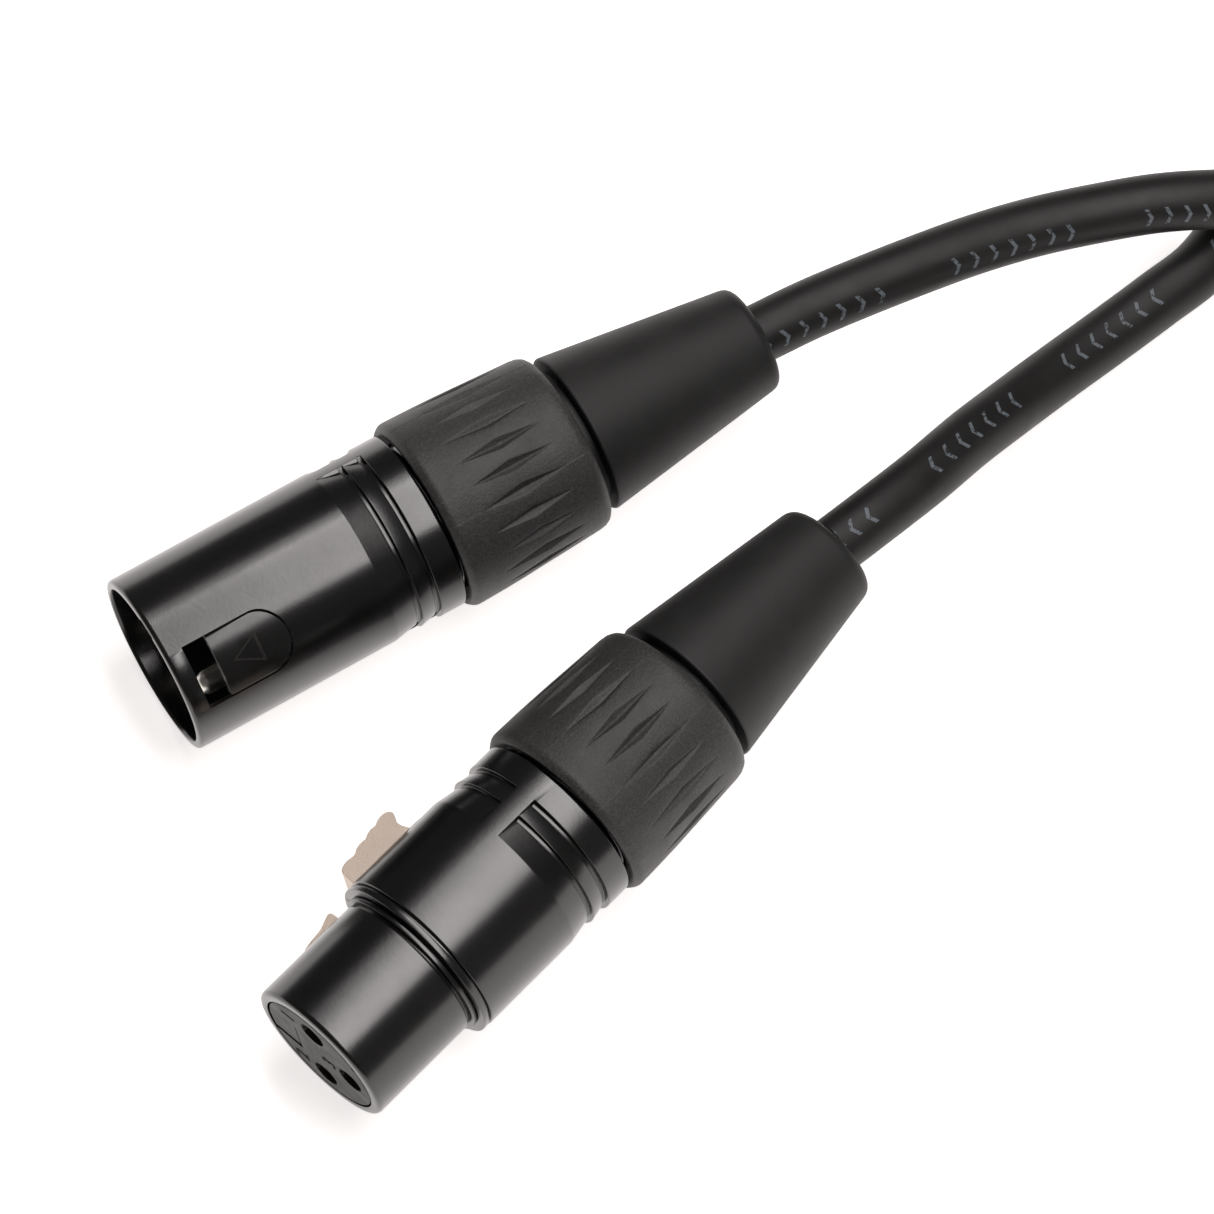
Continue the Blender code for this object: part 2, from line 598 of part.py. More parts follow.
# ---------------------------------------------------------------- cable
def add_cable():
    for name, route in (("cable_to_male", ROUTE_TO_MALE), ("cable_to_female", ROUTE_TO_FEMALE)):
        points = [Vector(point) * MM for point in route]
        tube(name, smooth_route(points, TUBE_STEP), CABLE_R, 2, CABLE_PVC)
    half = COIL_COLUMNS * TURN_PITCH / 2
    height = (COIL_LAYERS - 1) * LAYER_PITCH + 2 * CABLE_R + 0.2 * MM
    edge = 1.5 * MM
    inner, outer = COIL_R - half, COIL_R + half
    low = 0.1 * MM
    ring = [(inner + edge, low), (outer - edge, low), (outer, low + edge), (outer, height - edge),
            (outer - edge, height), (inner + edge, height), (inner, height - edge),
            (inner, low + edge)]
    coil = turned("cable_coil", ring, 40, None, CABLE_PVC)
    coil.location = (*COIL_CENTRE, 0)
    place_on_coil = Matrix.Translation((*COIL_CENTRE, 0)) @ Matrix.Rotation(TIE_ANGLE, 4, "Z")
    wide = TIE_WIDTH / 2
    relief = box("tie_relief", (inner - 2 * MM, -wide - MM, -MM),
                 (outer + 2 * MM, wide + MM, TIE_THICKNESS + 2 * GAP), None)
    relief.matrix_world = place_on_coil
    boolean(coil, relief)
    # the straight strap clears the curved inner side at its own edges
    near, far = math.sqrt(inner ** 2 - wide ** 2) - GAP, outer + GAP
    low, top = 0.05 * MM, height + 1.5 * MM + GAP
    tie = box("coil_tie", (near - TIE_THICKNESS, -wide, low),
              (far + TIE_THICKNESS, wide, top + TIE_THICKNESS), None, TIE_FABRIC)
    hole = box("tie_hole", (near, -wide - MM, low + TIE_THICKNESS), (far, wide + MM, top), None)
    tie.matrix_world = place_on_coil
    hole.matrix_world = place_on_coil
    boolean(tie, hole)


def main():
    clear_scene()
    add_collections()
    add_male_plug()
    add_female_plug()
    add_cable()


main()
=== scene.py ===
"""Looks of the XLR microphone cable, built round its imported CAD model."""
import math
import random

import bmesh
import bpy
from mathutils import Matrix, Vector


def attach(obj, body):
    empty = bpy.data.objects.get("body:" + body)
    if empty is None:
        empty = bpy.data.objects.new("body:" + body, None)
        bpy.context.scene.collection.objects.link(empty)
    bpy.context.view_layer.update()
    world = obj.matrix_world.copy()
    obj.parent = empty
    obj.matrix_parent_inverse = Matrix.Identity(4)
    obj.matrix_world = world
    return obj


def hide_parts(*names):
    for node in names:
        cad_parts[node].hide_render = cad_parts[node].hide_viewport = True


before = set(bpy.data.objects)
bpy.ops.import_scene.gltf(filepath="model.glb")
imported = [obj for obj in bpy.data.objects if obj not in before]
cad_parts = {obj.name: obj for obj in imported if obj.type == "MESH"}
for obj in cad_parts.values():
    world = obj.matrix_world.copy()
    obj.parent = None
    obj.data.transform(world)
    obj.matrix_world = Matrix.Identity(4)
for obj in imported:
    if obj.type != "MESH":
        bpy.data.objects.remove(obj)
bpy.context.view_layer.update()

MM = 0.001
TAU = math.tau

# ---------------------------------------------------------------- dimensions, in millimetres
# how the plugs lie: the front's middle on the table, then turns in degrees
MALE_MOUTH = (-30.03, 20.42)
MALE_ROLL = 44.0
FEMALE_FACE = (-36.41, -22.97)
FEMALE_YAW = 15.7
FEMALE_ROLL = -98.0
# shells; along a plug, z is 0 at its front and grows towards the cable
NOSE_R = 8.0
MALE_BORE_R = 8.3
MALE_R = 9.3
FEMALE_R = 9.35
FEMALE_BORE_R = 6.9
SPIGOT_R = 7.7
SPIGOT_LENGTH = 6.7
MALE_NUT_Z = 30.35
FEMALE_NUT_Z = 33.45
BAR_HALF = 1.2
WALL = 0.88
WINDOW_HALF = 3.5
WINDOW_FRONT = 1.9
WINDOW_REAR = 12.1
WINDOW_NOSE = 2.9
THREAD_PITCH = 1.0
THREAD_DEPTH = 0.32
# contacts, and the carrier that holds the female ones; CONTACT_TOP is short of the grip nut
CONTACT_R = 4.2
CONTACT_TOP = 1.2
CUP_R = 0.8
CUP_DEPTH = 2.4
CARRIER_R = 6.74
CARRIER_LENGTH = FEMALE_NUT_Z - 6
SEAM_ANGLE = math.radians(144.5)
# grip nut and boot, measured from the nut's front
NUT_R = 10.1
NUT_LENGTH = 16.45
NUT_BACK_R = 9.35
BOOT_START = 17.45
BOOT_END = 38.05
# latch lever
LEVER_PIVOT = (7.3, 21.9)
LEVER_HALF = 3.3
ARM_HALF = 2.0
# cable, coil and strap; angles in degrees
CABLE_R = 3.0
COIL_CENTRE = (145.5, 9.5)
COIL_COLUMNS = (37.0, 31.0, 25.0)
COIL_LAYERS = 4
COIL_TOP = 21.75
COIL_STEP = 6.2
COIL_START = -129.0
COIL_SWEEP = 4219.0
TIE_ANGLE = 20.0
TIE_HALF = 6.9
TIE_THICK = 1.05
ROUTE_TO_MALE = [(38.65, 20.42, 11.18), (44.5, 20.1, 11.37), (50.5, 19.5, 11.4), (56.5, 18.9, 11.1),
                 (62.4, 18.15, 10.8), (68.6, 17.0, 10.4), (74.7, 15.3, 10.1), (81.0, 13.1, 9.95),
                 (86.6, 10.2, 10.1), (92.3, 6.0, 11.2), (98.0, 0.9, 13.3), (103.55, -4.15, 15.7)]
ROUTE_TO_FEMALE = [(32.75, -3.53, 11.68), (38.5, -2.5, 11.35), (44.85, -1.05, 10.3), (51.4, 1.05, 8.2),
                   (57.5, 2.8, 6.0), (64.0, 4.4, 4.2), (70.6, 5.6, 3.3), (77.3, 6.6, 3.2),
                   (84.0, 7.8, 3.15), (90.4, 11.2, 3.15), (96.9, 16.6, 3.15), (103.3, 22.4, 3.15)]

# light: watts of the key and of the fill, strengths of the sky and of the floor's own glow
KEY = 3.3
FILL = 0.012
WORLD = 0.07
FLOOR_GLOW = 0.77
WARM = (1.0, 0.962, 0.95)


# ---------------------------------------------------------------- camera, floor and light
def add_camera():
    """The picture's camera: 755 mm away and 65 degrees up, with a long lens."""
    data = bpy.data.cameras.new("camera")
    data.sensor_width = 36.0
    data.lens = 226.35
    data.clip_start = 0.05
    data.clip_end = 50.0
    camera = bpy.data.objects.new("camera", data)
    bpy.context.scene.collection.objects.link(camera)
    place = Vector((-152.43, -270.38, 682.7)) * MM
    target = Vector((13.36, 6.98, 0.0)) * MM
    camera.location = place
    camera.rotation_euler = (target - place).to_track_quat("-Z", "Y").to_euler()
    bpy.context.scene.camera = camera


def softbox(name, centre, target, size, power):
    """A rectangular light that faces its target."""
    data = bpy.data.lights.new(name, "AREA")
    data.shape = "RECTANGLE"
    data.size, data.size_y = size
    data.energy = power
    data.color = WARM
    light = bpy.data.objects.new(name, data)
    bpy.context.scene.collection.objects.link(light)
    centre, target = Vector(centre), Vector(target)
    turn = (target - centre).to_track_quat("-Z", "Y").to_matrix().to_4x4()
    light.matrix_world = Matrix.Translation(centre) @ turn


def add_studio():
    world = bpy.data.worlds.new("studio")
    bpy.context.scene.world = world
    world.use_nodes = True
    background = world.node_tree.nodes["Background"]
    background.inputs["Color"].default_value = (*WARM, 1.0)
    background.inputs["Strength"].default_value = WORLD
    middle = Vector((0.0134, 0.007, 0))
    # one long key overhead, its dimmer far end, and a weak low light from the front; the place and
    # the sides of each are in units of its height
    for name, height, slope, sides, power in (
            ("key", 0.6, (0.225, -0.13), (0.35, 1.28), KEY),
            ("key_far_end", 0.602, (0.225, 0.58), (0.35, 0.32), 0.12 * KEY),
            ("front_fill", 0.2, (0.8, -2.1), (1.2, 1.3), FILL)):
        centre = middle + height * Vector((*slope, 1))
        overhead = name != "front_fill"
        target = centre - Vector((0, 0, 1)) if overhead else middle
        softbox(name, centre, target, [height * side for side in sides], power)
    bpy.context.scene.view_settings.view_transform = "Standard"


def add_floor():
    bm = bmesh.new()
    bmesh.ops.create_grid(bm, x_segments=2, y_segments=2, size=3.0)
    mesh = bpy.data.meshes.new("floor")
    bm.to_mesh(mesh)
    bm.free()
    floor = bpy.data.objects.new("floor", mesh)
    bpy.context.scene.collection.objects.link(floor)
    mesh.materials.append(floor_material())


# ---------------------------------------------------------------- material helpers
class Paint:
    """A Principled material whose colour, roughness and bump come from nodes in object space."""

    def __init__(self, name, **sockets):
        self.material = bpy.data.materials.new(name)
        self.material.use_nodes = True
        self.tree = self.material.node_tree
        self.shader = self.tree.nodes["Principled BSDF"]
        for socket, value in sockets.items():
            self.shader.inputs[socket.replace("_", " ")].default_value = value
        self.where = self.node("ShaderNodeTexCoord").outputs["Object"]
        self.normal = None

    def node(self, kind, **settings):
        node = self.tree.nodes.new(kind)
        for key, value in settings.items():
            setattr(node, key, value)
        return node

    def link(self, source, target):
        self.tree.links.new(source, target)

    def maths(self, operation, a, b=None, c=None):
        node = self.node("ShaderNodeMath", operation=operation)
        for socket, value in zip(node.inputs, (a, b, c)):
            if value is None:
                continue
            if isinstance(value, (int, float)):
                socket.default_value = value
            else:
                self.link(value, socket)
        return node.outputs[0]

    def noise(self, scale, detail=3.0, rough=0.55, stretch=None):
        node = self.node("ShaderNodeTexNoise")
        node.inputs["Scale"].default_value = scale
        node.inputs["Detail"].default_value = detail
        node.inputs["Roughness"].default_value = rough
        source = self.where
        if stretch:
            mapping = self.node("ShaderNodeMapping")
            mapping.inputs["Scale"].default_value = stretch
            self.link(source, mapping.inputs["Vector"])
            source = mapping.outputs["Vector"]
        self.link(source, node.inputs["Vector"])
        return node.outputs["Fac"]

    def ramp(self, source, low, high, to_low=0.0, to_high=1.0):
        node = self.node("ShaderNodeMapRange")
        for socket, value in zip(("From Min", "From Max", "To Min", "To Max"),
                                 (low, high, to_low, to_high)):
            node.inputs[socket].default_value = value
        self.link(source, node.inputs["Value"])
        return node.outputs["Result"]

    def mix(self, factor, a, b):
        node = self.node("ShaderNodeMix", data_type="RGBA")
        self.link(factor, node.inputs["Factor"])
        for socket, value in ((node.inputs[6], a), (node.inputs[7], b)):
            if isinstance(value, tuple):
                socket.default_value = (*value, 1.0)
            else:
                self.link(value, socket)
        return node.outputs[2]

    def bump(self, height, distance, strength=1.0):
        node = self.node("ShaderNodeBump")
        node.inputs["Strength"].default_value = strength
        node.inputs["Distance"].default_value = distance
        self.link(height, node.inputs["Height"])
        if self.normal:
            self.link(self.normal, node.inputs["Normal"])
        self.normal = node.outputs["Normal"]

    def colour(self, source):
        self.link(source, self.shader.inputs["Base Color"])

    def rough(self, source):
        self.link(source, self.shader.inputs["Roughness"])

    def done(self):
        if self.normal:
            self.link(self.normal, self.shader.inputs["Normal"])
        return self.material


def grey(value, warm=0.0):
    return (value * (1 + warm), value, value * (1 - warm))


def floor_material():
    paint = Paint("floor_white", Roughness=0.9)
    paint.shader.inputs["Specular IOR Level"].default_value = 0.0
    paint.shader.inputs["Emission Color"].default_value = (*WARM, 1.0)
    paint.shader.inputs["Emission Strength"].default_value = FLOOR_GLOW
    paint.colour(paint.mix(paint.noise(3.0), grey(0.88, 0.01), grey(0.89, 0.01)))
    return paint.done()


def shell_material():
    """Black lacquer over die-cast metal: glossy, with a faint orange peel and fine scuffs."""
    paint = Paint("shell_lacquer", Metallic=0.0, IOR=1.62, Coat_Weight=0.15, Coat_Roughness=0.2)
    cloud = paint.noise(160.0, 4.0)
    paint.colour(paint.mix(cloud, grey(0.003), grey(0.006, 0.03)))
    scuff = paint.ramp(paint.noise(900.0, 6.0, 0.7, (1.0, 1.0, 0.25)), 0.45, 0.8)
    paint.rough(paint.ramp(paint.maths("MULTIPLY_ADD", scuff, 0.3, cloud), 0.2, 1.1, 0.2, 0.28))
    paint.bump(paint.noise(420.0, 2.0), 0.000005)
    paint.bump(paint.noise(3600.0, 3.0), 0.000005)
    return paint.done()


def plate_material():
    """Glossy black moulding beside the lacquered shell."""
    paint = Paint("window_plate_plastic", IOR=1.58)
    cloud = paint.noise(420.0, 4.0)
    paint.colour(paint.mix(cloud, grey(0.007), grey(0.013, 0.03)))
    paint.rough(paint.ramp(cloud, 0.3, 0.7, 0.17, 0.26))
    paint.bump(paint.noise(2600.0, 3.0), 0.000002)
    return paint.done()


def insert_material():
    paint = Paint("moulded_insulator", IOR=1.37)
    cloud = paint.noise(500.0, 4.0)
    paint.colour(paint.mix(cloud, grey(0.017, 0.06), grey(0.027, 0.06)))
    paint.rough(paint.ramp(cloud, 0.3, 0.7, 0.42, 0.56))
    paint.bump(paint.noise(5200.0, 3.0), 0.000008)
    return paint.done()


def ink_material():
    """Painted shade on the face's numbers: a dull black that stands in for the shade on their strokes.
    """
    paint = Paint("number_painted_shade", IOR=1.15)
    cloud = paint.noise(900.0, 3.0)
    paint.colour(paint.mix(cloud, grey(0.005), grey(0.011)))
    paint.rough(paint.ramp(cloud, 0.3, 0.7, 0.6, 0.75))
    paint.bump(paint.noise(4200.0), 0.000006)
    return paint.done()


def grip_material():
    """Spark-eroded plastic: a fine, even grain with a dull sheen."""
    paint = Paint("grained_plastic", IOR=1.5)
    cloud = paint.noise(260.0, 4.0)
    grain = paint.noise(4200.0, 2.0, 0.6)
    fleck = paint.ramp(grain, 0.42, 0.74)
    strength = paint.maths("MULTIPLY", fleck, 0.8)
    paint.colour(paint.mix(strength, grey(0.028, 0.03), grey(0.062, 0.03)))
    paint.rough(paint.ramp(paint.maths("MULTIPLY_ADD", grain, 0.4, cloud), 0.4, 1.0, 0.46, 0.62))
    paint.bump(grain, 0.00005, 0.9)
    paint.bump(paint.noise(1500.0, 2.0), 0.00001)
    return paint.done()


def boot_material():
    paint = Paint("boot_elastomer", IOR=1.38)
    cloud = paint.noise(220.0, 5.0)
    fine = paint.noise(3400.0, 3.0, 0.6)
    paint.colour(paint.mix(paint.ramp(cloud, 0.3, 0.7), grey(0.0145, 0.01), grey(0.021, 0.01)))
    paint.rough(paint.ramp(paint.maths("MULTIPLY_ADD", fine, 0.3, cloud), 0.35, 0.95, 0.46, 0.6))
    paint.bump(fine, 0.00001)
    paint.bump(paint.noise(330.0, 2.0), 0.00002)
    return paint.done()


def cable_material():
    """Satin PVC with faint lengthwise lines from the extruder and a row of printed chevrons."""
    paint = Paint("cable_pvc", IOR=1.4)
    uv = paint.node("ShaderNodeUVMap", uv_map="along").outputs["UV"]
    split = paint.node("ShaderNodeSeparateXYZ")
    paint.link(uv, split.inputs[0])
    along, around = split.outputs[0], split.outputs[1]
    mapping = paint.node("ShaderNodeMapping")
    mapping.inputs["Scale"].default_value = (60.0, 90.0, 1.0)
    paint.link(uv, mapping.inputs["Vector"])
    lines = paint.node("ShaderNodeTexNoise")
    lines.inputs["Scale"].default_value = 1.0
    lines.inputs["Detail"].default_value = 3.0
    paint.link(mapping.outputs["Vector"], lines.inputs["Vector"])
    cloud = paint.noise(300.0, 4.0)
    fine = paint.noise(4200.0, 3.0)
    base = paint.mix(cloud, grey(0.008, 0.03), grey(0.013, 0.03))
    # printed marks, in metres: a chevron each 2.1 mm, in groups 21 mm apart, in a band 1.9 mm high
    high = paint.maths("ABSOLUTE", around)
    slanted = paint.maths("MULTIPLY_ADD", high, 0.55, along)

    def repeated(pitch, filled):
        place = paint.maths("FRACT", paint.maths("DIVIDE", slanted, pitch))
        return paint.maths("LESS_THAN", place, filled)

    stroke = repeated(0.0021, 0.2)
    group = repeated(0.021, 0.68)
    band = paint.maths("LESS_THAN", high, 0.00095)
    worn = paint.ramp(paint.noise(2600.0, 3.0), 0.36, 0.5)
    mark = paint.maths("MULTIPLY", stroke, group)
    mark = paint.maths("MULTIPLY", mark, paint.maths("MULTIPLY", band, worn))
    paint.colour(paint.mix(mark, base, (0.13, 0.15, 0.17)))
    drawn = paint.maths("MULTIPLY_ADD", lines.outputs["Fac"], 0.5, cloud)
    paint.rough(paint.ramp(drawn, 0.4, 1.0, 0.4, 0.54))
    paint.bump(lines.outputs["Fac"], 0.00003, 0.7)
    paint.bump(fine, 0.000008)
    return paint.done()


def latch_material():
    """Sand-blasted nickel."""
    paint = Paint("blasted_nickel", Metallic=1.0)
    grain = paint.noise(6800.0, 2.0, 0.7)
    cloud = paint.noise(420.0, 4.0)
    shade = paint.maths("MULTIPLY_ADD", grain, 0.6, paint.maths("MULTIPLY", cloud, 0.5))
    paint.colour(paint.mix(shade, (0.5, 0.42, 0.355), (0.72, 0.62, 0.53)))
    paint.rough(paint.ramp(grain, 0.3, 0.7, 0.42, 0.56))
    paint.bump(grain, 0.00005, 0.9)
    return paint.done()


def silver_material(name="contact_silver", tint=(0.96, 0.93, 0.87)):
    paint = Paint(name, Metallic=1.0)
    cloud = paint.noise(500.0, 2.0)
    paint.colour(paint.mix(cloud, tuple(0.88 * c for c in tint), tint))
    paint.rough(paint.ramp(paint.noise(2600.0, 3.0), 0.3, 0.7, 0.32, 0.4))
    paint.bump(paint.noise(1800.0, 2.0, 0.5, (1.0, 1.0, 0.2)), 0.000001)
    return paint.done()


def spring_material():
    return silver_material("spring_steel", (0.55, 0.55, 0.57))


def wire_material(name, colour):
    paint = Paint("wire_" + name, IOR=1.46)
    cloud = paint.noise(900.0, 3.0)
    paint.colour(paint.mix(cloud, tuple(0.8 * c for c in colour), colour))
    paint.rough(paint.ramp(cloud, 0.3, 0.7, 0.3, 0.42))
    paint.bump(paint.noise(2400.0), 0.00001)
    return paint.done()


def tie_material():
    """Woven hook-and-loop strap: short loops over a fine weave."""
    paint = Paint("strap_fabric", Sheen_Weight=0.35, Sheen_Roughness=0.5)
    wave = paint.node("ShaderNodeTexWave", wave_type="BANDS", bands_direction="DIAGONAL")
    wave.inputs["Scale"].default_value = 900.0
    wave.inputs["Distortion"].default_value = 3.0
    wave.inputs["Detail"].default_value = 2.0
    paint.link(paint.where, wave.inputs["Vector"])
    loops = paint.noise(3200.0, 4.0, 0.75)
    height = paint.maths("MULTIPLY_ADD", loops, 0.8, wave.outputs["Fac"])
    paint.colour(paint.mix(paint.ramp(height, 0.3, 1.3), grey(0.008), grey(0.045)))
    paint.rough(paint.ramp(loops, 0.2, 0.8, 0.75, 0.95))
    paint.bump(height, 0.0002, 0.9)
    return paint.done()


# ---------------------------------------------------------------- mesh helpers
def plug_frame(centre, yaw, roll, front_r, front_z, nut_z):
    """A plug's own axes: Z from the mouth to the cable, X at the latch; it rests on rim and nut."""
    yaw, roll = math.radians(yaw), math.radians(roll)
    tilt = math.atan2(NUT_R - front_r, nut_z - front_z)
    along = Vector((math.cos(yaw) * math.cos(tilt), math.sin(yaw) * math.cos(tilt), math.sin(tilt)))
    left = Vector((-math.sin(yaw), math.cos(yaw), 0))
    up = along.cross(left)
    latch = math.cos(roll) * up - math.sin(roll) * left
    rotation = Matrix((latch, along.cross(latch), along)).transposed().to_4x4()
    height = front_r / math.cos(tilt) - front_z * math.sin(tilt) + 0.05
    place = Vector((*centre, height)) * MM
    return Matrix.Translation(place) @ rotation @ Matrix.Diagonal((MM, MM, MM, 1))


def fillet(points, closed=True, steps=4):
    """Rounds the corners of a profile of (r, z, size of rounding)."""
    result = []
    count = len(points)
    for i, (x, y, size) in enumerate(points):
        corner = Vector((x, y))
        inside = closed or 0 < i < count - 1
        if size <= 0 or not inside:
            result.append(corner)
            continue
        before = Vector(points[i - 1][:2]) - corner
        after = Vector(points[(i + 1) % count][:2]) - corner
        a = corner + before.normalized() * min(size, 0.48 * before.length)
        b = corner + after.normalized() * min(size, 0.48 * after.length)
        for k in range(steps + 1):
            t = k / steps
            result.append((1 - t) ** 2 * a + 2 * t * (1 - t) * corner + t * t * b)
    return [(p.x, p.y) for p in result]


def as_object(name, bm, matrix=None, material=None, sharp=38.0):
    if matrix:
        bmesh.ops.transform(bm, matrix=matrix, verts=bm.verts)
    mesh = bpy.data.meshes.new(name)
    bm.to_mesh(mesh)
    bm.free()
    obj = bpy.data.objects.new(name, mesh)
    bpy.context.scene.collection.objects.link(obj)
    if material:
        mesh.materials.append(material)
    mesh.shade_smooth()
    mesh.set_sharp_from_angle(angle=math.radians(sharp))
    return obj


def bake(obj):
    """Applies an object's modifiers to its mesh."""
    graph = bpy.context.evaluated_depsgraph_get()
    mesh = bpy.data.meshes.new_from_object(obj.evaluated_get(graph))
    old = obj.data
    obj.modifiers.clear()
    obj.data = mesh
    bpy.data.meshes.remove(old)
    mesh.name = obj.name
    return obj


def cut(obj, *cutters, operation="DIFFERENCE"):
    for cutter in cutters:
        modifier = obj.modifiers.new(cutter.name, "BOOLEAN")
        modifier.operation = operation
        modifier.object = cutter
    bake(obj)
    for cutter in cutters:
        bpy.data.objects.remove(cutter, do_unlink=True)
    return obj


def soften(obj, width, angle=36.0, segments=2):
    """Bevels an object's hard edges and shades its flat faces flat."""
    bevel = obj.modifiers.new("bevel", "BEVEL")
    bevel.width = width * MM
    bevel.segments = segments
    bevel.limit_method = "ANGLE"
    bevel.angle_limit = math.radians(angle)
    bevel.use_clamp_overlap = True
    bevel.miter_outer = "MITER_ARC"
    bake(obj)
    obj.data.shade_smooth()
    obj.data.set_sharp_from_angle(angle=math.radians(60))
    even(obj)
    return obj


def even(obj):
    """Lets large faces set the shading of the small ones round them."""
    weighted = obj.modifiers.new("shading", "WEIGHTED_NORMAL")
    weighted.keep_sharp = True
    weighted.weight = 60
    return obj


def angles(count, *edges, width=0.4):
    """Even angles in degrees, with a close pair of them at each edge."""
    found = [360.0 * i / count for i in range(count)]
    for edge in edges:
        found = [a for a in found if abs((a - edge + 180) % 360 - 180) > 2 * width]
        found += [(edge - width) % 360, (edge + width) % 360]
    return sorted(found)


def revolve(name, profile, matrix, material, around, closed=True):
    """A turned shape; profile is a list of (r, z), or a function of the angle that returns one."""
    turn = around if isinstance(around, list) else angles(around)
    shape = profile if callable(profile) else (lambda angle: profile)
    bm = bmesh.new()
    columns = []
    for degrees in turn:
        a = math.radians(degrees)
        columns.append([bm.verts.new((r * math.cos(a), r * math.sin(a), z))
                        for r, z in shape(degrees)])
    rows = len(columns[0])
    last = rows if closed else rows - 1
    for i, column in enumerate(columns):
        following = columns[(i + 1) % len(columns)]
        for j in range(last):
            k = (j + 1) % rows
            bm.faces.new((column[j], following[j], following[k], column[k]))
    bmesh.ops.remove_doubles(bm, verts=bm.verts, dist=1e-5)
    bmesh.ops.dissolve_degenerate(bm, edges=bm.edges, dist=1e-6)
    bmesh.ops.recalc_face_normals(bm, faces=bm.faces)
    return as_object(name, bm, matrix, material)


def prism(name, outline, low, high, matrix, plane="zx", material=None):
    """An outline pushed from low to high: zx is (z, x) pushed along y, zy along x, xy along z."""
    order = {"zx": lambda u, v, w: (v, w, u), "zy": lambda u, v, w: (w, v, u),
             "xy": lambda u, v, w: (u, v, w)}[plane]
    bm = bmesh.new()
    rings = [[bm.verts.new(order(u, v, w)) for u, v in outline] for w in (low, high)]
    bm.faces.new(rings[0])
    bm.faces.new(rings[1])
    for i in range(len(outline)):
        k = (i + 1) % len(outline)
        bm.faces.new((rings[0][i], rings[0][k], rings[1][k], rings[1][i]))
    bmesh.ops.recalc_face_normals(bm, faces=bm.faces)
    return as_object(name, bm, matrix, material)


def block(name, low, high, matrix, material=None, turn=0.0):
    (x0, y0, z0), (x1, y1, z1) = low, high
    outline = [(x0, y0), (x1, y0), (x1, y1), (x0, y1)]
    if turn:
        matrix = matrix @ Matrix.Rotation(math.radians(turn), 4, "Z")
    return prism(name, outline, z0, z1, matrix, "xy", material)


def rod(name, start, end, radius, matrix, segments=32):
    start, end = Vector(start), Vector(end)
    line = end - start
    turn = line.to_track_quat("Z", "Y").to_matrix().to_4x4()
    bm = bmesh.new()
    bmesh.ops.create_cone(bm, cap_ends=True, segments=segments, radius1=radius, radius2=radius,
                          depth=line.length,
                          matrix=Matrix.Translation((start + end) / 2) @ turn)
    return as_object(name, bm, matrix)


def show(obj, body, slot, *nodes):
    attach(obj, body)
    if nodes:
        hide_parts(*nodes)
    return obj


def bar_half_angle(radius):
    return math.degrees(math.asin(BAR_HALF / radius))


def in_bar(degrees, radius):
    """Whether an angle falls on one of the two uncut bars beside the latch."""
    return min(abs(degrees - 90), abs(degrees - 270)) < bar_half_angle(radius)


def bar_angles(count, radius):
    half = bar_half_angle(radius)
    return angles(count, 90 - half, 90 + half, 270 - half, 270 + half)


def rear_steps(radius, nut_z, bar):
    """The profile of two shallow ramps that end in grooves, or of the plain bar between them."""
    deep = 0.62
    points = [(0, 8.26, 0), (0.02, 8.16, 0),
              (0.44, 5.8, 0.05), (deep, 5.76, 0.05), (deep, 5.36, 0.05), (0.06, 5.3, 0.08),
              (0.4, 3.7, 0.05), (deep, 3.66, 0.05), (deep, 3.26, 0.05), (0, 3.2, 0.1)]
    return [(radius - (0 if bar else depth), nut_z - z, size) for depth, z, size in points]


def thread(nut_z, degrees):
    """One side of a spigot's screw thread: a wave in z that climbs one pitch each turn."""
    start, end = nut_z - 0.35, nut_z + SPIGOT_LENGTH - 0.3
    count = round((end - start) / 0.125)
    points = []
    for i in range(count + 1):
        z = start + (end - start) * i / count
        phase = (z / THREAD_PITCH - degrees / 360) % 1
        wave = 1 - min(1, max(0, (abs(2 * phase - 1) - 0.12) / 0.76))
        fade = min(1, (z - start) / 0.8, (end - z) / 0.6)
        points.append((SPIGOT_R - THREAD_DEPTH * (1 - wave * fade), z))
    return points


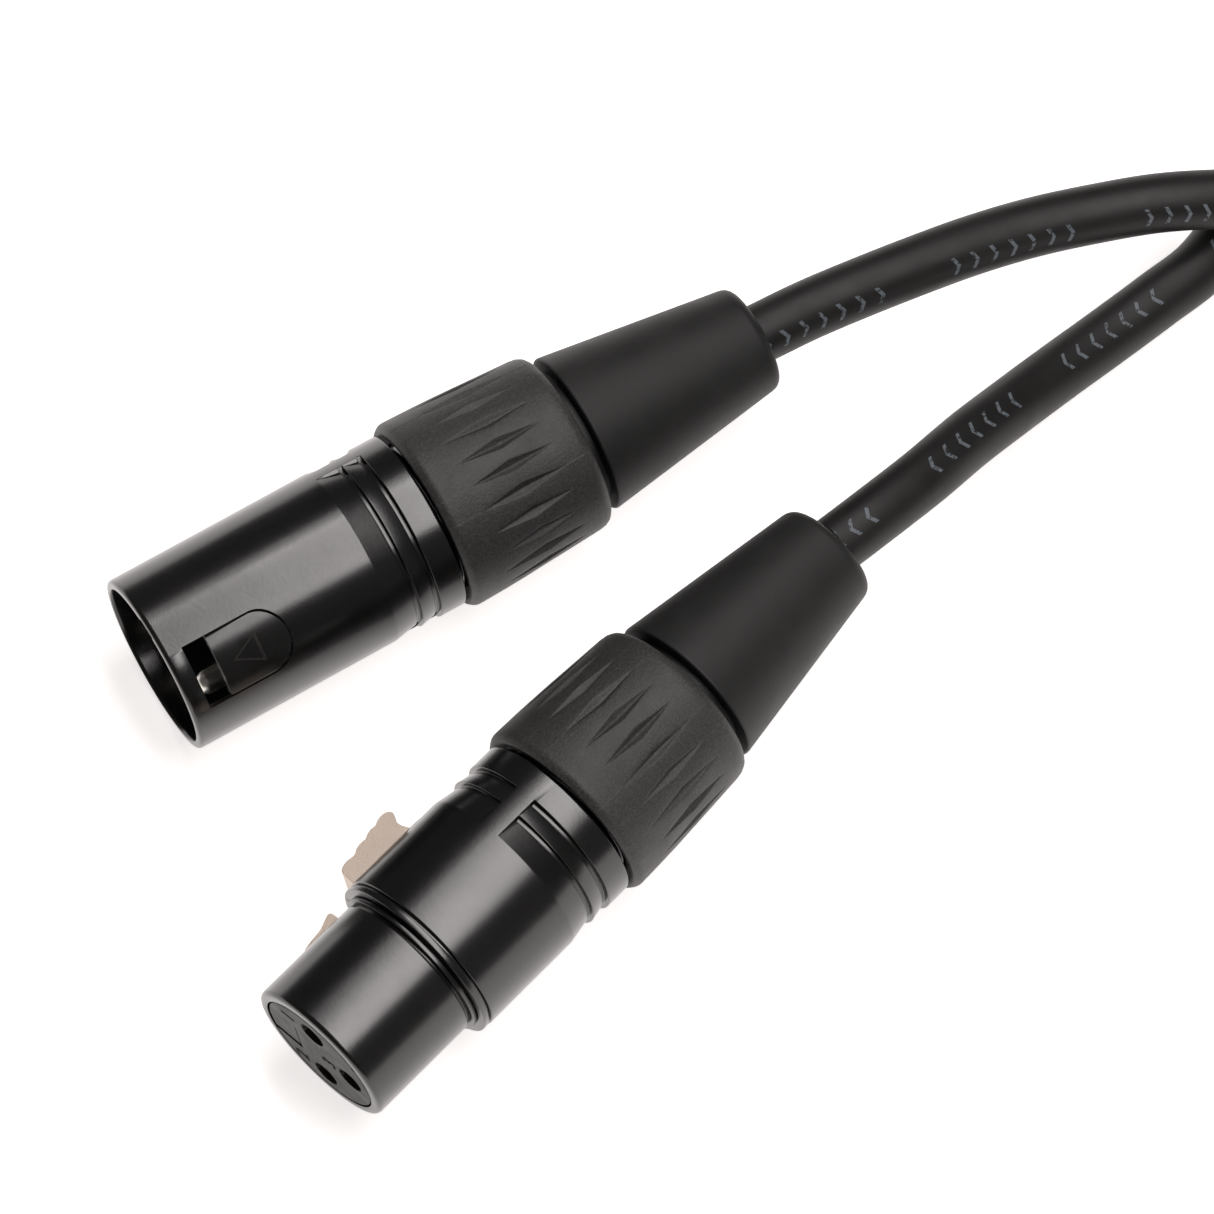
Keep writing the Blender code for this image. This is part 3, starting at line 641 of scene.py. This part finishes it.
# ---------------------------------------------------------------- pieces of both plugs
def add_grip(name, nut_z, matrix, material, body):
    """The grip nut, with 24 lens-shaped recesses of four facets each."""
    recesses, half_length, half_width, depth = 24, 4.9, 0.66, 0.62
    centre_z = 8.5
    outer = fillet([(9.05, 0.0, 0.1), (9.6, 0.0, 0.12), (NUT_R, 0.62, 0.35), (9.98, 5.5, 2.5),
                    (NUT_BACK_R, NUT_LENGTH, 1.5), (7.15, NUT_LENGTH, 0.25), (7.15, 13.2, 0.1),
                    (6.2, 13.0, 0.1), (7.75, 8.3, 0.1), (7.95, 7.0, 0.1), (7.95, 0.6, 0.1)])
    # more rows where the recesses are
    fine = []
    for (r0, z0), (r1, z1) in zip(outer, outer[1:]):
        fine.append((r0, z0))
        on_side = r0 > 9.3 and r1 > 9.3 and z1 - z0 > 0.4
        steps = math.ceil((z1 - z0) / 0.3) if on_side else 1
        for k in range(1, steps):
            t = k / steps
            fine.append((r0 + (r1 - r0) * t, z0 + (z1 - z0) * t))
    fine.append(outer[-1])
    pitch = TAU / recesses
    bm = bmesh.new()
    rows = []
    steps = (-1.0, -0.62, -0.32, 0.32, 0.62)
    for r, z in fine:
        along = abs(z - centre_z) / half_length
        half = max(0.0, half_width * (1 - along))
        on_side = r > 9.0 and along < 1.25 and 0.7 < z < 15.0
        row = []
        for k in range(recesses):
            middle = (k + 0.5) * pitch
            reach = pitch * r / 2
            land = max(half, 0.05)
            offsets = [-reach, -0.55 * reach - 0.45 * land, -land - 0.05, -land, -land + 0.05,
                       -0.5 * land, -0.05, 0.05, 0.5 * land, land - 0.05, land, land + 0.05,
                       0.55 * reach + 0.45 * land]
            for offset in sorted(offsets):
                sink = 0.0
                if on_side:
                    ridge = math.sqrt(offset ** 2 + 0.04 ** 2)
                    raw = 1 - ridge / half_width - math.sqrt(along ** 2 + 0.0004)
                    sink = depth * 0.5 * (raw + math.sqrt(raw ** 2 + 0.0025))
                    sink = max(0.0, sink - 0.004)
                a = middle + offset / r
                rr = r - sink
                row.append(bm.verts.new((rr * math.cos(a), rr * math.sin(a), z + nut_z)))
        rows.append(row)
    for i, row in enumerate(rows):
        following = rows[(i + 1) % len(rows)]
        for j in range(len(row)):
            k = (j + 1) % len(row)
            bm.faces.new((row[j], row[k], following[k], following[j]))
    bmesh.ops.recalc_face_normals(bm, faces=bm.faces)
    grip = as_object(name + "_grip", bm, matrix, material, 50.0)
    even(grip)
    return show(grip, body, "grip_black", name + "_grip_nut")


def add_sleeve(name, nut_z, matrix, material, body):
    """The tapered rubber boot."""
    profile = fillet([(6.8, 13.5, 0.1), (6.8, BOOT_START, 0.0), (8.4, BOOT_START, 0.35),
                      (5.5, BOOT_END, 1.1), (3.15, BOOT_END, 0.3), (3.15, 13.5, 0.1)], steps=6)
    profile = [(r, z + nut_z) for r, z in profile]
    sleeve = even(revolve(name + "_sleeve", profile, matrix, material, 128))
    return show(sleeve, body, "boot_rubber", name + "_boot")


def spigot_end(nut_z):
    """The profile's way from the thread's end into the bore."""
    end = nut_z + SPIGOT_LENGTH
    return [(SPIGOT_R - 0.35, end, 0.1), (FEMALE_BORE_R, end, 0.1)]


def solder_cup(outer, nut_z):
    """The last rows of a contact's profile: a wall of the outer radius round a blind cup."""
    top = nut_z - CONTACT_TOP
    return [(outer, top, 0.1), (CUP_R, top, 0.05), (CUP_R, top - CUP_DEPTH, 0.2),
            (0, top - CUP_DEPTH, 0)]


def add_contact(name, profile, at, matrix, paints, node):
    place = matrix @ Matrix.Translation((*at, 0))
    contact = revolve(name, fillet(profile, closed=False), place, paints["silver"], 48, closed=False)
    show(even(contact), "plugs", "contact_silver", node)


def add_male(matrix, paints):
    """The male plug's shell, window plate with its arrow, carrier with its numbers, and pins."""
    n = MALE_NUT_Z

    def profile(degrees):
        bar = in_bar(degrees, MALE_R)
        outer = fillet([(MALE_R - WALL, 0.0, 0.12), (MALE_R, 0.0, 0.5), *rear_steps(MALE_R, n, bar),
                        (MALE_R, n - 0.4, 0.22), (7.75, n - 0.4, 0.05)], closed=False)
        spigot = thread(n, degrees)
        inner = fillet([*spigot_end(n), (FEMALE_BORE_R, 24.9, 0.0), (MALE_BORE_R, 24.9, 0.0),
                        (MALE_BORE_R, 0.4, 0.15)], closed=False)
        return outer + spigot + inner

    shell = revolve("male_housing", profile, matrix, paints["shell"], bar_angles(256, MALE_R))
    slot = slot_outline(WINDOW_HALF, WINDOW_FRONT, WINDOW_REAR)
    window = prism("window", slot, 6.0, 11.0, matrix, "zy")
    keyway = block("keyway", (7.0, -1.2, -1.0), (8.78, 1.2, 11.0), matrix, turn=-MALE_ROLL)
    cut(shell, window, keyway)
    soften(shell, 0.07)
    show(shell, "plugs", "shell_black", "male_shell")

    top, under = MALE_R - 0.03, MALE_R - WALL
    ring = [(top, 3.4), (top, 13.0), (under, 13.0), (under, 3.4)]
    lock = revolve("male_window_plate", ring, matrix, paints["plate"], 256)
    plate = slot_outline(WINDOW_HALF - 0.2, WINDOW_FRONT + 2.5, WINDOW_REAR - 0.2)
    cut(lock, prism("plate_outline", plate, 6.0, 11.0, matrix, "zy"), operation="INTERSECT")
    soften(lock, 0.16)
    marks = arrow_mark(matrix, paints["insert"])
    show(lock, "plugs", "insert_black", "male_lock_plate")
    show(marks, "plugs", "insert_black")

    disc = fillet([(0, 14.0, 0), (8.0, 14.0, 0.3), (8.0, 24.6, 0.3), (6.4, 24.6, 0.1),
                   (6.4, 21.6, 0.1), (0, 21.6, 0)], closed=False)
    insert = revolve("male_carrier", disc, matrix, paints["insert"], 96, closed=False)
    holes = [rod("hole", (x, y, 13), (x, y, 26), 1.5, matrix) for x, y in male_places().values()]
    cut(insert, *holes)
    soften(insert, 0.08)
    numbers = [digit(str(number), (0.62 * x, 0.62 * y, 13.98), 1.9, 0.1, matrix, paints["insert"])
               for number, (x, y) in male_places().items()]
    show(insert, "plugs", "insert_black", "male_insert")
    show(merged("male_digits", numbers), "plugs", "insert_black")
    pin = [(0, 3.2, 0), (0.78, 3.2, 0.25), (1.2, 3.85, 0.3), *solder_cup(1.2, n)]
    for number, at in male_places().items():
        add_contact(f"male_prong_{number}", pin, at, matrix, paints, f"male_pin_{number}")


def slot_outline(half, front, rear):
    """A window in (z, y): a square front and a round rear end."""
    count = 18
    turn = [math.pi / 2 - math.pi * i / count for i in range(count + 1)]
    round_end = [(rear - WINDOW_NOSE + WINDOW_NOSE * math.cos(a), half * math.sin(a)) for a in turn]
    return [(front, half), *round_end, (front, -half)]


def male_places():
    return {1: (0, -CONTACT_R), 2: (0, CONTACT_R), 3: (-CONTACT_R, 0)}


def female_places():
    return {1: (0, CONTACT_R), 2: (0, -CONTACT_R), 3: (-CONTACT_R, 0)}


def arrow_mark(matrix, material):
    """An outlined arrowhead that stands slightly proud of the window plate."""
    bm = bmesh.new()
    apex, left, right = Vector((6.0, 0.0)), Vector((8.75, -1.45)), Vector((8.75, 1.45))
    for a, b, width in ((apex, left, 0.2), (apex, right, 0.2), (left, right, 0.34)):
        line = (b - a).normalized()
        across = Vector((-line.y, line.x)) * width / 2
        a, b = a - line * 0.1, b + line * 0.1
        rings = []
        for t in (0.0, 0.25, 0.5, 0.75, 1.0):
            middle = a.lerp(b, t)
            ring = []
            for side, r in ((-1.3, 9.2), (-0.8, 9.37), (0.8, 9.37), (1.3, 9.2)):
                z, y = middle + across * side
                ring.append(bm.verts.new((math.sqrt(r * r - y * y), y, z)))
            rings.append(ring)
        for r0, r1 in zip(rings, rings[1:]):
            for i in range(4):
                k = (i + 1) % 4
                bm.faces.new((r0[i], r0[k], r1[k], r1[i]))
        bm.faces.new(rings[0])
        bm.faces.new(rings[-1])
    bmesh.ops.recalc_face_normals(bm, faces=bm.faces)
    return as_object("male_plate_arrow", bm, matrix, material, 30.0)


def digit(text, at, size, depth, matrix, material):
    """A raised number that reads from outside the plug, upright towards the latch."""
    x, y, z = at
    curve = bpy.data.curves.new("digit", "FONT")
    curve.body = text
    curve.size = size
    curve.extrude = depth
    curve.bevel_depth = 0.02
    curve.align_x = "CENTER"
    curve.align_y = "CENTER"
    guide = bpy.data.objects.new("digit", curve)
    bpy.context.scene.collection.objects.link(guide)
    graph = bpy.context.evaluated_depsgraph_get()
    mesh = bpy.data.meshes.new_from_object(guide.evaluated_get(graph))
    bpy.data.objects.remove(guide)
    # the text's up is local +X and it faces local -Z
    turn = Matrix(((0, 1, 0, x), (1, 0, 0, y), (0, 0, -1, z), (0, 0, 0, 1)))
    bm = bmesh.new()
    bm.from_mesh(mesh)
    bpy.data.meshes.remove(mesh)
    bmesh.ops.transform(bm, matrix=turn, verts=bm.verts)
    return as_object("digit_" + text, bm, matrix, material, 30.0)


def merged(name, objects):
    bm = bmesh.new()
    for obj in objects:
        bm.from_mesh(obj.data)
    material = objects[0].data.materials[0]
    for obj in objects:
        bpy.data.objects.remove(obj, do_unlink=True)
    return as_object(name, bm, None, material, 30.0)


def add_female(matrix, paints):
    """The female plug's shell, contact carrier, key block, numbers, sockets and lever."""
    n = FEMALE_NUT_Z
    # the nose, then a groove, a low ring, a narrow groove, a high ring and the groove at the body
    nose = [(FEMALE_BORE_R, 0.0, 0.22), (NOSE_R, 0.0, 0.55), (NOSE_R, 12.05, 0.12),
            (7.6, 12.12, 0.05), (7.6, 12.4, 0.05), (8.4, 12.42, 0.04), (8.4, 12.86, 0.04),
            (8.0, 12.88, 0.03), (8.0, 13.0, 0.03), (9.3, 13.04, 0.08), (9.3, 13.64, 0.08),
            (8.9, 13.7, 0.04), (8.9, 13.92, 0.04), (FEMALE_R, 14.0, 0.14)]

    def profile(degrees):
        bar = in_bar(degrees, FEMALE_R)
        outer = fillet([*nose, *rear_steps(FEMALE_R, n, bar), (FEMALE_R, n - 0.4, 0.22),
                        (7.75, n - 0.4, 0.05)], closed=False)
        spigot = thread(n, degrees)
        return outer + spigot + fillet(spigot_end(n), closed=False)

    shell = revolve("female_housing", profile, matrix, paints["shell"], bar_angles(256, FEMALE_R))
    cut(shell,
        block("nose_slot", (5, -2.25, 6.2), (12, 2.25, 11.9), matrix),
        block("flange_channel", (5, -2.25, 6.4), (8.45, 2.25, 15), matrix),
        block("thumb_slot", (5, -3.6, 13.8), (12, 3.6, 23.0), matrix),
        block("trunnion_seats", (5.1, -4.9, 20.95), (8.3, 4.9, 22.85), matrix))
    soften(shell, 0.07)
    show(shell, "plugs", "shell_black", "female_shell")

    rear = CARRIER_LENGTH
    disc = fillet([(0, 0.0, 0), (CARRIER_R, 0.0, 0.22), (CARRIER_R, rear, 0.2), (0, rear, 0)],
                  closed=False)
    insert = revolve("female_carrier", disc, matrix, paints["insert"], 128, closed=False)
    cutters = [rod("hole", (x, y, -1), (x, y, 1.5), 1.45, matrix, 48)
               for x, y in female_places().values()]
    cutters += [rod("seat", (x, y, 1.45), (x, y, rear + 1), 1.8, matrix)
                for x, y in female_places().values()]
    notch = FEMALE_BORE_R * math.cos(SEAM_ANGLE), FEMALE_BORE_R * math.sin(SEAM_ANGLE)
    cutters += [block("key_slot", (2.7, -2.15, -1), (9, 2.15, 6), matrix),
                block("arm_slot", (4.3, -2.6, 5.7), (9, 2.6, 14.6), matrix),
                block("lever_recess", (4.9, -9, 13.7), (9, 9, 24.4), matrix),
                rod("spring_pocket", (3.4, 0, 17.5), (8.4, 0, 17.5), 1.7, matrix),
                rod("seam_notch", (*notch, -1), (*notch, 1), 0.45, matrix)]
    cut(insert, *cutters)
    soften(insert, 0.09)
    show(insert, "plugs", "insert_black", "female_insert")

    key = block("female_key", (3.02, -1.96, 0.08), (7.2, 1.96, 5.4), matrix, paints["insert"])
    reach = CARRIER_R - 0.02
    limit = [(0, -1), (reach, -1), (reach, 8), (0, 8)]
    cut(key, revolve("limit", limit, matrix, None, 96, closed=False), operation="INTERSECT")
    soften(key, 0.1)
    show(key, "plugs", "insert_black", "female_key_block")
    # the numbers are painted dark, a painted shade that stands in for the shade on their strokes
    digits = [digit(text, (x, y, 0.03), 2.5, 0.05, matrix, paints["number_shade"])
              for text, x, y in (("1", 3.3, 3.9), ("2", 3.1, -4.1), ("3", -1.4, 0.0))]
    show(merged("female_digits", digits), "plugs", "insert_black")

    socket = [(0, 14.0, 0), (1.2, 14.0, 0.1), (1.2, 1.8, 0.12), (1.5, 1.8, 0.12), *solder_cup(1.5, n)]
    for number, at in female_places().items():
        add_contact(f"female_socket_{number}", socket, at, matrix, paints, f"female_contact_{number}")
    add_lever(matrix, paints)


def on_curve(before, a, b, after, t):
    """A point on the Catmull-Rom curve from a to b."""
    return 0.5 * (2 * a + (b - before) * t + (2 * before - 5 * a + 4 * b - after) * t ** 2
                  + (3 * a - before - 3 * b + after) * t ** 3)


def smooth_outline(points, steps):
    """A closed smooth line through (x, y) points; a point given as (x, y, 1) stays a corner."""
    corner = [len(p) > 2 for p in points]
    co = [Vector(p[:2]) for p in points]
    count = len(co)
    result = []
    for i, a in enumerate(co):
        k = (i + 1) % count
        b = co[k]
        if corner[i] and corner[k]:
            result.append(a)
            continue
        before = a if corner[i] else co[i - 1]
        after = b if corner[k] else co[(i + 2) % count]
        result += [on_curve(before, a, b, after, step / steps) for step in range(steps)]
    return [(p.x, p.y) for p in result]


def add_lever(matrix, paints):
    """The push lever: a humped thumb piece, an arm with its hook, and two trunnions."""
    thumb = smooth_outline([(14.3, 6.7, 1), (14.32, 10.1), (14.75, 10.8), (15.5, 10.97), (16.2, 10.9),
                         (16.6, 10.92), (17.15, 11.23), (17.9, 11.32), (18.45, 11.28), (18.85, 11.48),
                         (19.5, 11.62), (20.05, 11.55), (20.4, 11.72), (21.0, 11.88), (21.7, 11.8),
                         (22.15, 11.42), (22.1, 10.92), (21.75, 10.32), (21.7, 9.8), (22.0, 9.0),
                         (22.3, 8.3, 1), (22.3, 6.7, 1)], 5)
    arm = [(6.5, 6.6), (6.5, 8.0), (7.2, 8.15), (9.0, 8.35), (10.35, 8.9), (10.55, 8.97),
           (10.75, 8.95), (10.95, 8.75), (11.0, 7.9), (16.5, 7.9), (16.5, 6.6)]
    lever = prism("latch_push_lever", thumb, -LEVER_HALF, LEVER_HALF, matrix, "zx", paints["latch"])
    cut(lever, prism("arm", arm, -ARM_HALF, ARM_HALF, matrix, "zx"), operation="UNION")
    radius, z = LEVER_PIVOT
    cut(lever, rod("trunnions", (radius, -4.6, z), (radius, 4.6, z), 0.6, matrix), operation="UNION")
    soften(lever, 0.13, angle=40.0, segments=3)
    show(lever, "latch", "latch_nickel", "latch_lever")


# ---------------------------------------------------------------- cable
def smooth_route(points, steps):
    ends = [2 * points[0] - points[1], *points, 2 * points[-1] - points[-2]]
    fine = []
    for before, a, b, after in zip(ends, ends[1:], ends[2:], ends[3:]):
        fine += [on_curve(before, a, b, after, step / steps) for step in range(steps)]
    fine.append(points[-1])
    return fine


def coil_points():
    """11.7 turns in three columns and four layers, from the outer top one to the outer lowest."""
    rng = random.Random(5)
    places = []
    for layer in range(COIL_LAYERS):
        order = COIL_COLUMNS if layer % 2 == 0 else COIL_COLUMNS[::-1]
        places += [(r, COIL_TOP - COIL_STEP * layer) for r in order]
    wobble = [(rng.uniform(-0.25, 0.25), rng.uniform(0, TAU)) for _ in places]
    points = []
    count = round(COIL_SWEEP / 6.0)
    for i in range(count + 1):
        swept = COIL_SWEEP * i / count
        turn = min(int(swept // 360), len(places) - 1)
        part = swept / 360 - turn
        blend = min(1.0, max(0.0, (part - 0.86) / 0.14))
        blend = blend * blend * (3 - 2 * blend)
        nxt = min(turn + 1, len(places) - 1)
        (r0, z0), (r1, z1) = places[turn], places[nxt]
        a = math.radians(COIL_START + swept)
        r = r0 + (r1 - r0) * blend
        z = z0 + (z1 - z0) * blend
        edge = math.sin(math.pi * min(1, part)) if turn in (0, len(places) - 1) else 1.0
        r += edge * wobble[turn][0] * math.sin(2 * a + wobble[turn][1])
        # the strap's lower side lifts the turns that lie on it
        off = (math.degrees(a) - TIE_ANGLE + 180) % 360 - 180
        z += 1.25 * math.exp(-(off / 16.0) ** 2)
        points.append(Vector((COIL_CENTRE[0] + r * math.cos(a), COIL_CENTRE[1] + r * math.sin(a), z)))
    return points


def add_cord(paints):
    """One cable: male plug, lead, coil, lead, female plug."""
    route = [Vector(p) for p in ROUTE_TO_MALE] + [Vector((112.9, -11.75, 19.4))] + coil_points()
    route.append(Vector((112.8, 30.6, 3.1)))
    route += [Vector(p) for p in reversed(ROUTE_TO_FEMALE)]
    line = smooth_route(route, 6)
    sides = 28
    bm = bmesh.new()
    uv_layer = bm.loops.layers.uv.new("along")
    travelled, rings, distances = 0.0, [], []
    for i, point in enumerate(line):
        if i:
            travelled += (point - line[i - 1]).length
        tangent = (line[min(i + 1, len(line) - 1)] - line[max(i - 1, 0)]).normalized()
        side = tangent.cross(Vector((0, 0, 1))).normalized()
        top = side.cross(tangent)
        ring = []
        for k in range(sides):
            a = TAU * k / sides
            outward = math.cos(a) * top + math.sin(a) * side
            ring.append(bm.verts.new((point + CABLE_R * outward) * MM))
        rings.append(ring)
        distances.append(travelled)
    for i in range(len(rings) - 1):
        for k in range(sides):
            m = (k + 1) % sides
            face = bm.faces.new((rings[i][k], rings[i][m], rings[i + 1][m], rings[i + 1][k]))
            for loop, (j, q) in zip(face.loops, ((i, k), (i, k + 1), (i + 1, k + 1), (i + 1, k))):
                # the print's place round the cable, in degrees, on the first half and on the second
                print_at = 55.0 if distances[j] < travelled / 2 else -14.0
                around = (q * 360 / sides - print_at + 180) % 360 - 180
                # a face that spans the seam ends past 180, not back at -180
                if q == k + 1 and around < -180 + 360 / sides - 0.01:
                    around += 360
                loop[uv_layer].uv = (distances[j] * MM, math.radians(around) * CABLE_R * MM)
    for ring in (rings[0], rings[-1]):
        bm.faces.new(ring)
    bmesh.ops.recalc_face_normals(bm, faces=bm.faces)
    cord = as_object("cable", bm, None, paints["cable"], 50.0)
    show(cord, "plugs", "cable_jacket", "cable_to_male", "cable_coil", "cable_to_female")
    tie = add_tie(paints)
    print("cable length", round(travelled * MM, 4))


def add_tie(paints):
    """A hook-and-loop strap round the coil: a closed band with rounded edges."""
    # the strap's middle line, in radius and height: clear of the coil's turns all round
    inner, outer = COIL_COLUMNS[1] - 3 * CABLE_R, COIL_COLUMNS[1] + 3 * CABLE_R
    near = math.sqrt(inner ** 2 - 7.0 ** 2) - 0.35
    far = outer + 0.35
    low, top = 0.65, 26.75
    corner = 4.2
    middle = []
    for cx, cy, first in ((far - corner, top - corner, 0), (near + corner, top - corner, 90),
                          (near + corner, low + corner, 180), (far - corner, low + corner, 270)):
        for k in range(9):
            a = math.radians(first + 90 * k / 8)
            middle.append((cx + corner * math.cos(a), cy + corner * math.sin(a)))
    bm = bmesh.new()
    # the band's cross-section: across its width, and through its thickness
    rounds = [(-1.0, 0.0), (-0.97, 0.32), (-0.9, 0.5), (0.9, 0.5), (0.97, 0.32), (1.0, 0.0),
              (0.97, -0.32), (0.9, -0.5), (-0.9, -0.5), (-0.97, -0.32)]
    rings = []
    count = len(middle)
    for i in range(count):
        p, q = Vector(middle[i - 1]), Vector(middle[(i + 1) % count])
        line = (q - p).normalized()
        out = Vector((line.y, -line.x))
        ring = []
        for across, height in rounds:
            r, z = Vector(middle[i]) + out * height * TIE_THICK
            ring.append(bm.verts.new((r, TIE_HALF * across, z)))
        rings.append(ring)
    for i in range(count):
        a, b = rings[i], rings[(i + 1) % count]
        for k in range(len(a)):
            m = (k + 1) % len(a)
            bm.faces.new((a[k], a[m], b[m], b[k]))
    bmesh.ops.recalc_face_normals(bm, faces=bm.faces)
    place = Matrix.Translation(Vector((*COIL_CENTRE, 0)) * MM)
    place = place @ Matrix.Rotation(math.radians(TIE_ANGLE), 4, "Z") @ Matrix.Diagonal((MM, MM, MM, 1))
    tie = as_object("coil_strap", bm, place, paints["tie"], 50.0)
    return show(tie, "plugs", "tie_fabric", "coil_tie")


# ---------------------------------------------------------------- the whole
add_camera()
paints = {"shell": shell_material(), "insert": insert_material(), "plate": plate_material(),
          "number_shade": ink_material(), "grip": grip_material(), "boot": boot_material(),
          "cable": cable_material(), "latch": latch_material(), "silver": silver_material(),
          "spring": spring_material(), "tie": tie_material(),
          "wire_1": wire_material("screen", (0.5, 0.5, 0.52)),
          "wire_2": wire_material("red", (0.5, 0.03, 0.02)),
          "wire_3": wire_material("blue", (0.03, 0.05, 0.35))}
add_cord(paints)
add_studio()
add_floor()
male = plug_frame(MALE_MOUTH, 0.0, MALE_ROLL, MALE_R, 0.45, MALE_NUT_Z)
female = plug_frame(FEMALE_FACE, FEMALE_YAW, FEMALE_ROLL, FEMALE_R, 14.5, FEMALE_NUT_Z)
add_male(male, paints)
add_female(female, paints)
for plug, nut_z, matrix in (("male", MALE_NUT_Z, male), ("female", FEMALE_NUT_Z, female)):
    add_grip(plug, nut_z, matrix, paints["grip"], plug + "_nut")
    add_sleeve(plug, nut_z, matrix, paints["boot"], plug + "_sleeve")
# CAD nodes that stay as they are, with the materials they take
kept = {"latch_spring": "spring", "male_chuck": "insert", "female_chuck": "insert",
        "male_cable_end": "boot", "female_cable_end": "boot"}
for plug in ("male", "female"):
    for number in (1, 2, 3):
        kept[f"{plug}_wire_{number}"] = f"wire_{number}"
for node, paint in kept.items():
    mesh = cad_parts[node].data
    mesh.materials.clear()
    mesh.materials.append(paints[paint])
